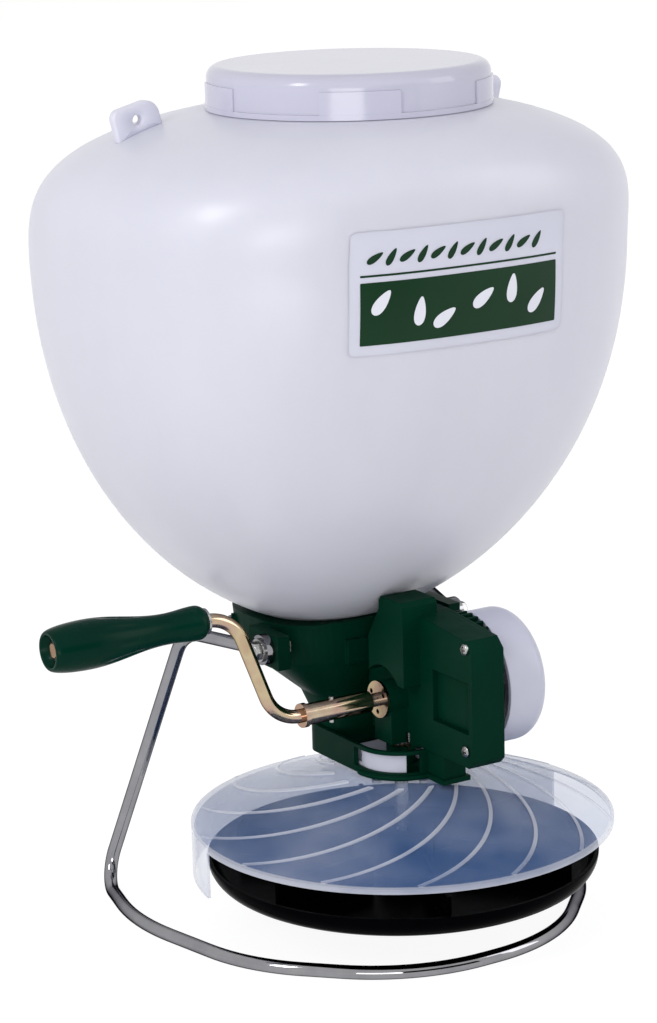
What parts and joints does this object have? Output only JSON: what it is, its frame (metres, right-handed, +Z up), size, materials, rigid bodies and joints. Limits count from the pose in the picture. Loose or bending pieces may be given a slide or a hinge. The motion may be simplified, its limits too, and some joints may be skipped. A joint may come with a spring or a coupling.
{
  "type": "hand-cranked seed spreader",
  "caption": "Chest-carried seed spreader: translucent hopper with lid, geared hand crank, metering knob and gate, spinning disc under a guard, bent-rod stand.",
  "frame": {"origin": "on the floor, below the axis of the spinning disc", "axes": "+Z up, -Y to the front where the seed is thrown, -X the crank's side"},
  "size_m": [0.397, 0.341, 0.5051],
  "materials": {
    "hopper_plastic": "translucent, satin",
    "lid_plastic": "translucent, satin",
    "guard_plastic": "translucent, glossy",
    "green_plastic": "moulded, satin",
    "grip_plastic": "moulded, satin",
    "black_plastic": "moulded, semi-gloss",
    "white_plastic": "moulded, satin",
    "gear_plastic": "moulded",
    "chrome": "bright plated",
    "steel": "plated",
    "yellow_zinc": "yellow zinc plated",
    "bronze": "sintered",
    "rubber": "matt"
  },
  "bodies": {
    "frame": {"hopper": "hopper_plastic", "funnel_housing": "green_plastic", "hopper_screws": "steel", "outlet_casing": "green_plastic", "gearbox_housing": "green_plastic", "gearbox_cover": "green_plastic", "gearbox_screws": "steel", "crank_bushes": "bronze", "shaft_bushes": "bronze", "guard": "guard_plastic", "guard_screws": "steel", "stand_frame": "chrome", "stand_bolts": "steel", "stand_washers": "steel", "stand_nuts": "steel"},
    "lid": {"lid": "lid_plastic", "lid_seal": "rubber"},
    "crank": {"crank_shaft": "steel", "crank_sleeve": "yellow_zinc", "sleeve_pin": "steel", "crank_rod": "yellow_zinc", "crank_washer": "steel", "crown_gear": "gear_plastic", "grip_washers": "steel"},
    "grip": {"crank_grip": "grip_plastic"},
    "spreader": {"spreader_shaft": "steel", "pinion": "steel", "spreader_disc": "black_plastic", "disc_nut": "steel"},
    "knob": {"metering_knob": "white_plastic", "knob_gear": "white_plastic", "knob_screw": "steel"},
    "gate": {"gate_slide": "white_plastic"}
  },
  "joints": [
    {"name": "lid_lift", "type": "slide", "parent": "frame", "child": "lid", "axis": [0, 0, 1], "range_m": [0, 0.04]},
    {"name": "crank_turn", "type": "hinge", "parent": "frame", "child": "crank", "pos_m": [0, 0, 0.1385], "axis": [1, 0, 0], "continuous": true},
    {"name": "grip_spin", "type": "hinge", "parent": "crank", "child": "grip", "pos_m": [-0.178, 0, 0.2055], "axis": [1, 0, 0], "continuous": true},
    {"name": "disc_spin", "type": "hinge", "parent": "frame", "child": "spreader", "pos_m": [0, 0, 0.06], "axis": [0, 0, 1], "continuous": true},
    {"name": "knob_turn", "type": "hinge", "parent": "frame", "child": "knob", "pos_m": [0.045, -0.028, 0.149], "axis": [1, 0, 0], "range_deg": [0, 39.11]},
    {"name": "gate_move", "type": "slide", "parent": "frame", "child": "gate", "axis": [0, 1, 0], "range_m": [0, 0.02]}
  ],
  "couplings": [
    {"joint": "disc_spin", "follows": "crank_turn", "ratio": 4},
    {"joint": "gate_move", "follows": "knob_turn", "m_per_rad": 0.0293}
  ]
}
